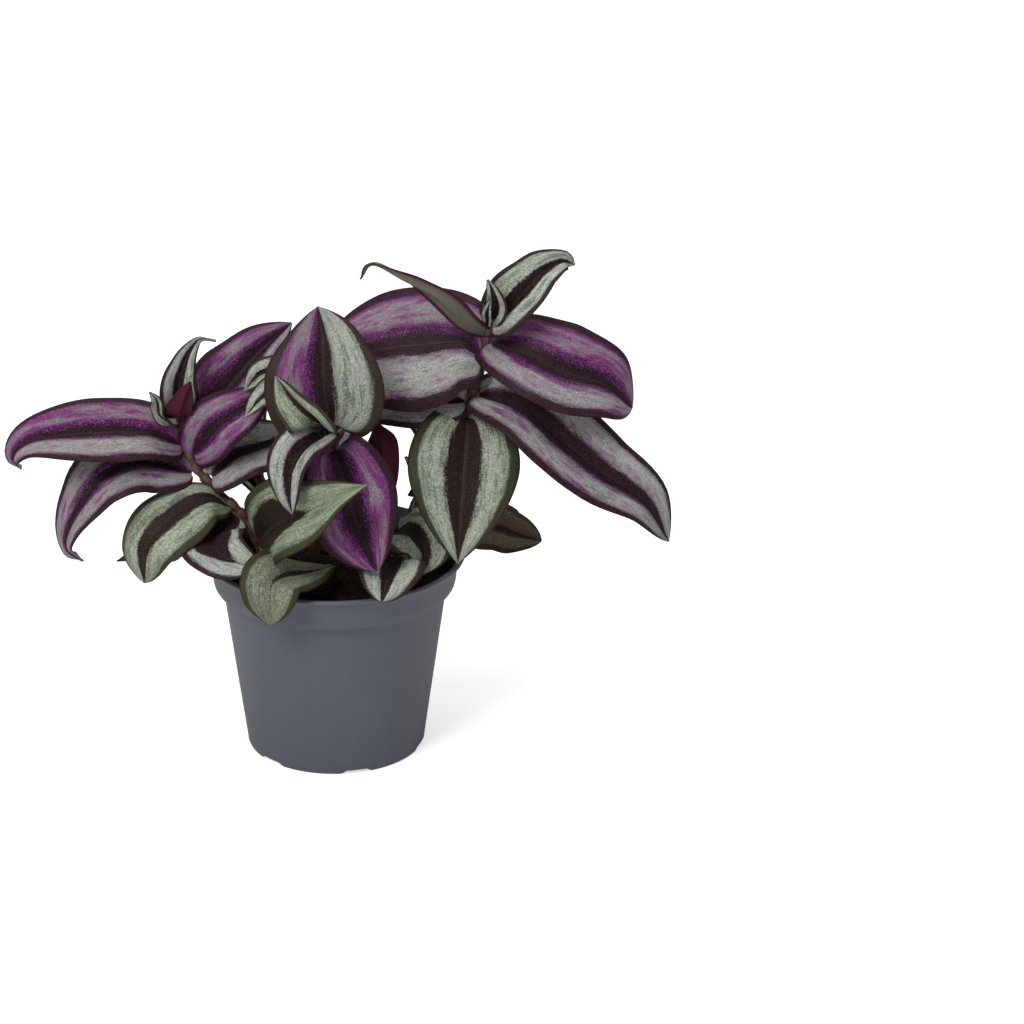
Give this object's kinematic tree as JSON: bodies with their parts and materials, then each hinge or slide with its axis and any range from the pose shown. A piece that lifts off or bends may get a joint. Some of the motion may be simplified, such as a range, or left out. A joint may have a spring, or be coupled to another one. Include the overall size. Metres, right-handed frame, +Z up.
{
  "type": "potted trailing plant",
  "caption": "Round tapered nursery pot filled with soil, with upright stems and pointed striped leaves spreading and arching over the rim.",
  "frame": {"origin": "centre of the pot's underside, on the ground plane", "axes": "+Z up along the pot's axis; -Y is the side of the plant shown in the picture; +X to the right as seen from there"},
  "size_m": [0.2607, 0.1574, 0.2102],
  "materials": {
    "grey_plastic": "matte, faint vertical streaks",
    "peat": "rough, gritty crumbs of peat",
    "stem_skin": "satin, fleshy, striped green and brown",
    "leaf_skin": "satin, silver and violet stripes with fine sparkle"
  },
  "bodies": {
    "root": {"pot": "grey_plastic", "soil": "peat", "stem_left": "stem_skin", "stem_front": "stem_skin", "stem_right": "stem_skin", "stem_middle": "stem_skin", "stem_low": "stem_skin", "stem_back": "stem_skin", "stem_back_right": "stem_skin", "stem_back_left": "stem_skin", "leaf_left_1": "leaf_skin", "leaf_left_2": "leaf_skin", "leaf_left_3": "leaf_skin", "leaf_left_4": "leaf_skin", "leaf_left_5": "leaf_skin", "leaf_left_6": "leaf_skin", "leaf_left_7": "leaf_skin", "leaf_left_8": "leaf_skin", "leaf_left_9": "leaf_skin", "leaf_left_10": "leaf_skin", "leaf_front_1": "leaf_skin", "leaf_front_2": "leaf_skin", "leaf_front_3": "leaf_skin", "leaf_front_4": "leaf_skin", "leaf_front_5": "leaf_skin", "leaf_front_6": "leaf_skin", "leaf_right_1": "leaf_skin", "leaf_right_2": "leaf_skin", "leaf_right_3": "leaf_skin", "leaf_right_4": "leaf_skin", "leaf_right_5": "leaf_skin", "leaf_right_6": "leaf_skin", "leaf_right_7": "leaf_skin", "leaf_right_8": "leaf_skin", "leaf_right_9": "leaf_skin", "leaf_right_10": "leaf_skin", "leaf_middle_1": "leaf_skin", "leaf_middle_2": "leaf_skin", "leaf_low_1": "leaf_skin", "leaf_low_2": "leaf_skin", "leaf_back_1": "leaf_skin", "leaf_back_2": "leaf_skin", "leaf_back_3": "leaf_skin", "leaf_back_4": "leaf_skin", "leaf_back_5": "leaf_skin", "leaf_back_right_1": "leaf_skin", "leaf_back_right_2": "leaf_skin", "leaf_back_right_3": "leaf_skin", "leaf_back_right_4": "leaf_skin", "leaf_back_right_5": "leaf_skin", "leaf_back_right_6": "leaf_skin", "leaf_back_left_1": "leaf_skin", "leaf_back_left_2": "leaf_skin", "leaf_back_left_3": "leaf_skin"}
  },
  "joints": []
}
